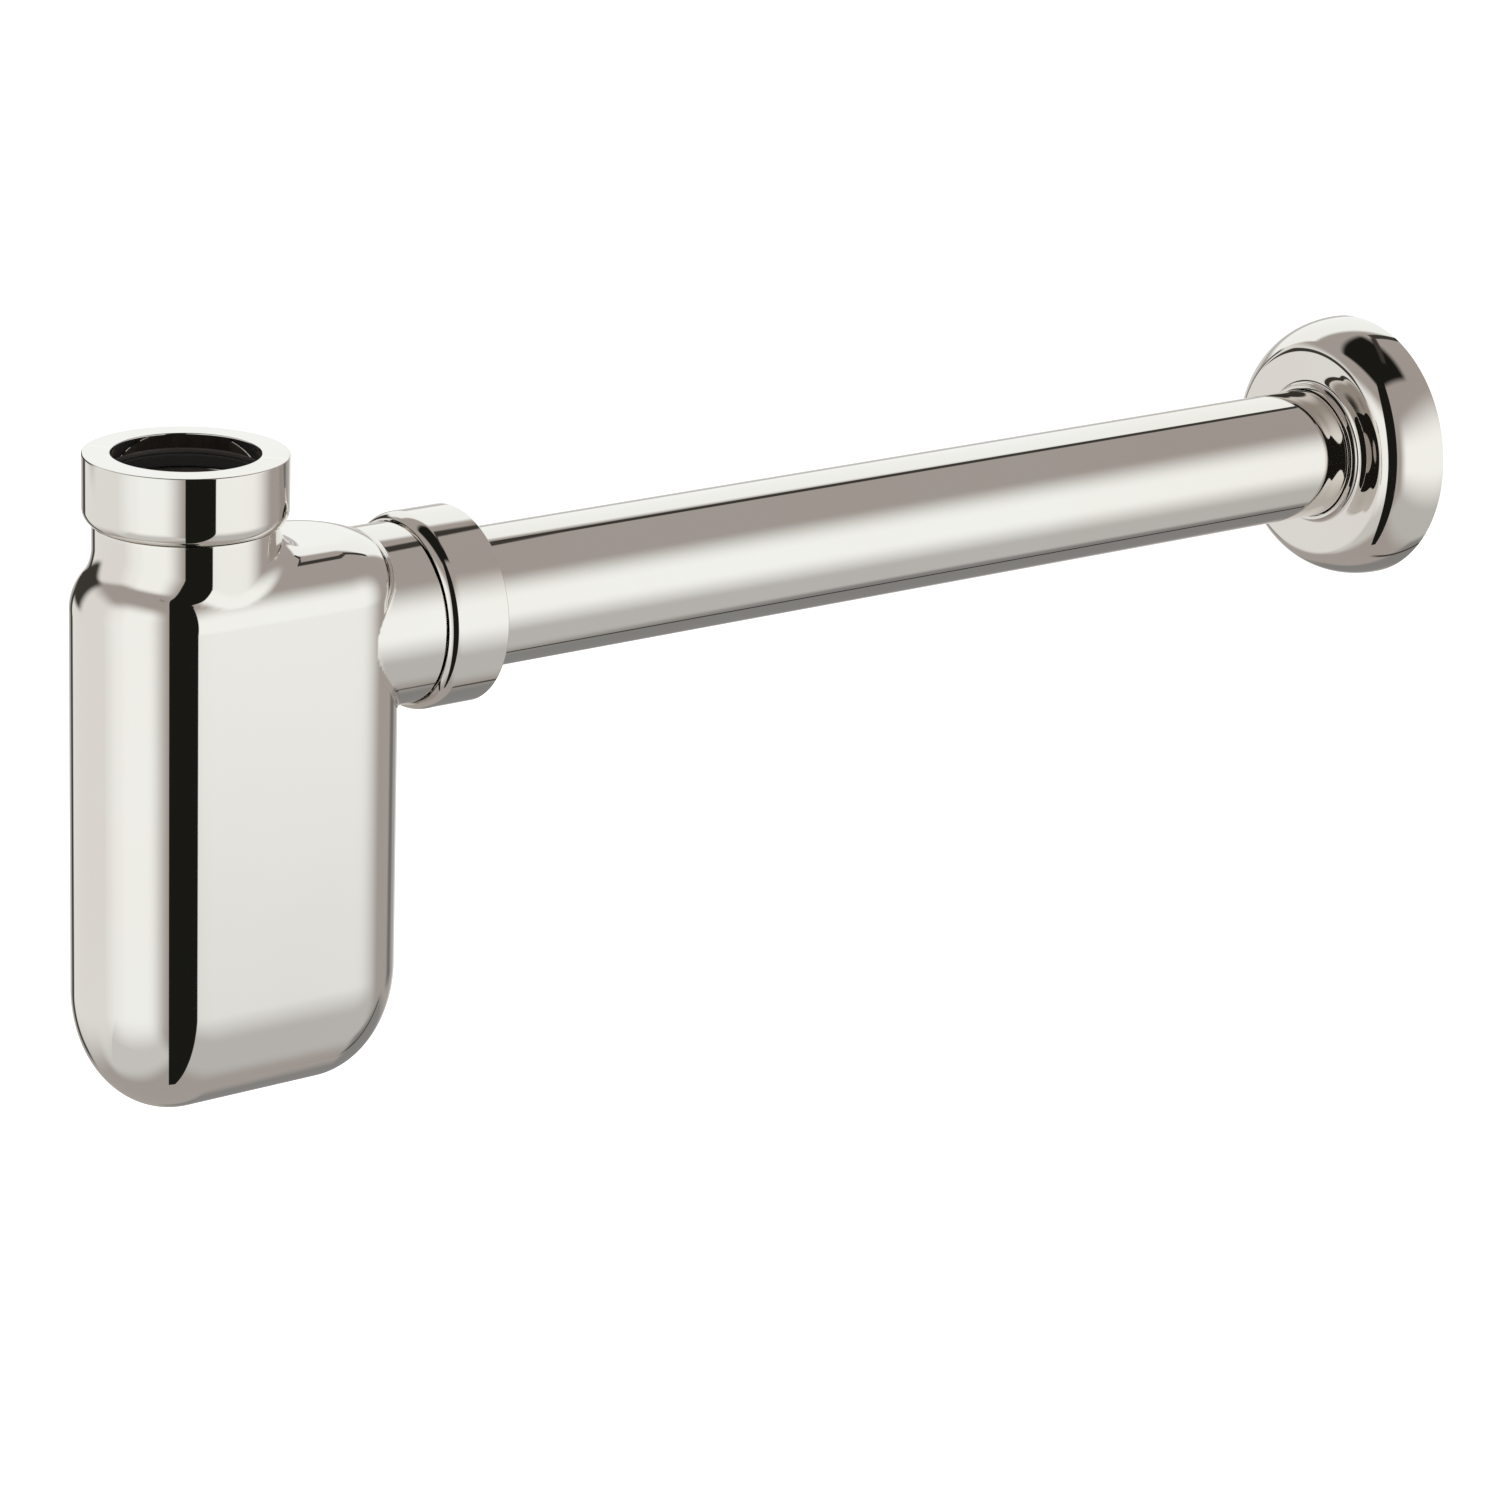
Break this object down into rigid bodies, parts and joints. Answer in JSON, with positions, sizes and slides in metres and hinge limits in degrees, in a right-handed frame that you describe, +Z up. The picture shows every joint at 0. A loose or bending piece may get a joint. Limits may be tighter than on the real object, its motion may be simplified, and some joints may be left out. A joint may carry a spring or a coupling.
{
  "type": "p trap",
  "caption": "Slim flat-bodied P trap for a basin waste, with slip nuts, a dip tube water seal, a straight waste tube and a domed wall flange.",
  "frame": {"origin": "centre of the inlet socket's mouth, on the neck's top rim inside the inlet nut", "axes": "+Z up the inlet, the way the basin's tailpiece leaves; +X along the waste tube to the wall"},
  "size_m": [0.3776, 0.0652, 0.1476],
  "materials": {
    "nickel_plate": "polished nickel plate on brass",
    "raw_brass": "drawn, unplated",
    "black_rubber": "moulded, matt",
    "dark_acetal": "moulded, satin"
  },
  "bodies": {
    "trap": {"trap_body": "nickel_plate", "dip_tube": "raw_brass", "dip_tube_o_ring": "black_rubber", "inlet_washer": "black_rubber", "outlet_washer": "black_rubber"},
    "inlet_ring": {"inlet_friction_ring": "dark_acetal"},
    "inlet_nut": {"inlet_nut": "nickel_plate"},
    "outlet_ring": {"outlet_friction_ring": "dark_acetal"},
    "outlet_nut": {"outlet_nut": "nickel_plate"},
    "tube": {"wall_tube": "nickel_plate"},
    "flange": {"wall_flange": "nickel_plate", "flange_o_ring": "black_rubber"}
  },
  "joints": [
    {"name": "inlet_ring_lift", "type": "slide", "parent": "trap", "child": "inlet_ring", "axis": [0, 0, 1], "range_m": [0, 0.0081]},
    {"name": "inlet_nut_turn", "type": "hinge", "parent": "inlet_ring", "child": "inlet_nut", "pos_m": [0, 0, 0], "axis": [0, 0, 1], "range_deg": [0, 1440]},
    {"name": "outlet_ring_shift", "type": "slide", "parent": "trap", "child": "outlet_ring", "axis": [1, 0, 0], "range_m": [0, 0.0081]},
    {"name": "outlet_nut_turn", "type": "hinge", "parent": "outlet_ring", "child": "outlet_nut", "pos_m": [0.0622, 0, -0.0363], "axis": [1, 0, 0], "range_deg": [0, 1440]},
    {"name": "tube_slide", "type": "slide", "parent": "trap", "child": "tube", "axis": [1, 0, 0], "range_m": [-0.007, 0.008]},
    {"name": "flange_slide", "type": "slide", "parent": "tube", "child": "flange", "axis": [1, 0, 0], "range_m": [-0.22, 0]}
  ],
  "couplings": [
    {"joint": "inlet_ring_lift", "follows": "inlet_nut_turn", "m_per_rad": 0.00031831},
    {"joint": "outlet_ring_shift", "follows": "outlet_nut_turn", "m_per_rad": 0.00031831}
  ]
}
